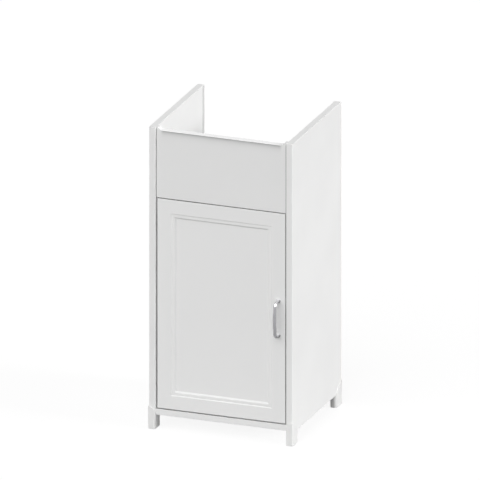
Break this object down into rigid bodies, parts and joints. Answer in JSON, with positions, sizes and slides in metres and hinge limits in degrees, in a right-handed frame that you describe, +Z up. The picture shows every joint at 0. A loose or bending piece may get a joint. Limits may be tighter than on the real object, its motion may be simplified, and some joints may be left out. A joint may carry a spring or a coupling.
{
  "type": "bathroom vanity cabinet",
  "caption": "Narrow white vanity base cabinet with an open top for a basin, a fixed scooped apron, an inset framed door on concealed hinges, a bow handle, a shelf and moulded corner feet.",
  "frame": {"origin": "middle of the footprint of the whole cabinet, on the floor", "axes": "+X to the right seen from the front, +Y to the back, +Z up; the door faces -Y"},
  "size_m": [0.405, 0.3894, 0.8355],
  "materials": {
    "white_laminate": "white melamine on chipboard",
    "apron_laminate": "white melamine on chipboard",
    "door_foil": "white foil over milled fibreboard",
    "white_edge_trim": "glossy white",
    "foot_plastic": "moulded white",
    "chrome": "polished chrome",
    "nickel_steel": "nickel plated",
    "zinc_steel": "bright zinc",
    "cast_zinc": "cast zinc",
    "dowel_wood": "plain beech",
    "clear_rubber": "soft bumper"
  },
  "bodies": {
    "carcass": {"left_side_panel": "white_laminate", "right_side_panel": "white_laminate", "bottom_board": "white_laminate", "rear_upper_rail": "white_laminate", "rear_lower_rail": "white_laminate", "shelf": "white_laminate", "rear_strips": "white_laminate", "apron_panel": "apron_laminate", "apron_edge_trim": "white_edge_trim", "foot_front_left": "foot_plastic", "foot_front_right": "foot_plastic", "foot_rear_left": "foot_plastic", "foot_rear_right": "foot_plastic", "foot_screws": "zinc_steel", "cam_bolts": "zinc_steel", "door_stop_screws": "zinc_steel", "hinge_plate_screws": "zinc_steel", "hinge_arm_screws": "zinc_steel", "shelf_pins": "zinc_steel", "cam_locks": "cast_zinc", "wood_dowels": "dowel_wood", "door_stops": "foot_plastic", "door_bumpers": "clear_rubber", "hinge_plate_upper": "nickel_steel", "hinge_arm_upper": "nickel_steel", "hinge_plate_lower": "nickel_steel", "hinge_arm_lower": "nickel_steel", "hinge_arm_pins": "nickel_steel"},
    "hinge_long_links": {"hinge_long_link_upper": "nickel_steel", "hinge_long_link_lower": "nickel_steel"},
    "hinge_short_links": {"hinge_short_link_upper": "nickel_steel", "hinge_short_link_lower": "nickel_steel"},
    "door": {"door_panel": "door_foil", "door_handle": "chrome", "handle_screws": "zinc_steel", "hinge_cup_upper": "nickel_steel", "hinge_cup_lower": "nickel_steel", "hinge_cup_screws": "zinc_steel", "hinge_cup_pins": "nickel_steel"}
  },
  "joints": [
    {"name": "long_link_swing", "type": "hinge", "parent": "carcass", "child": "hinge_long_links", "pos_m": [-0.1462, -0.15565, 0.3486], "axis": [0, 0, -1], "range_deg": [0, 12.2]},
    {"name": "door_swing", "type": "hinge", "parent": "hinge_long_links", "child": "door", "pos_m": [-0.1682, -0.15645, 0.3486], "axis": [0, 0, -1], "range_deg": [0, 87.85]},
    {"name": "short_link_swing", "type": "hinge", "parent": "carcass", "child": "hinge_short_links", "pos_m": [-0.1638, -0.15455, 0.3486], "axis": [0, 0, -1], "range_deg": [0, 120.4]}
  ],
  "couplings": [
    {"joint": "long_link_swing", "follows": "door_swing", "ratio": 0.1383},
    {"joint": "short_link_swing", "follows": "door_swing", "ratio": 1.3686}
  ]
}
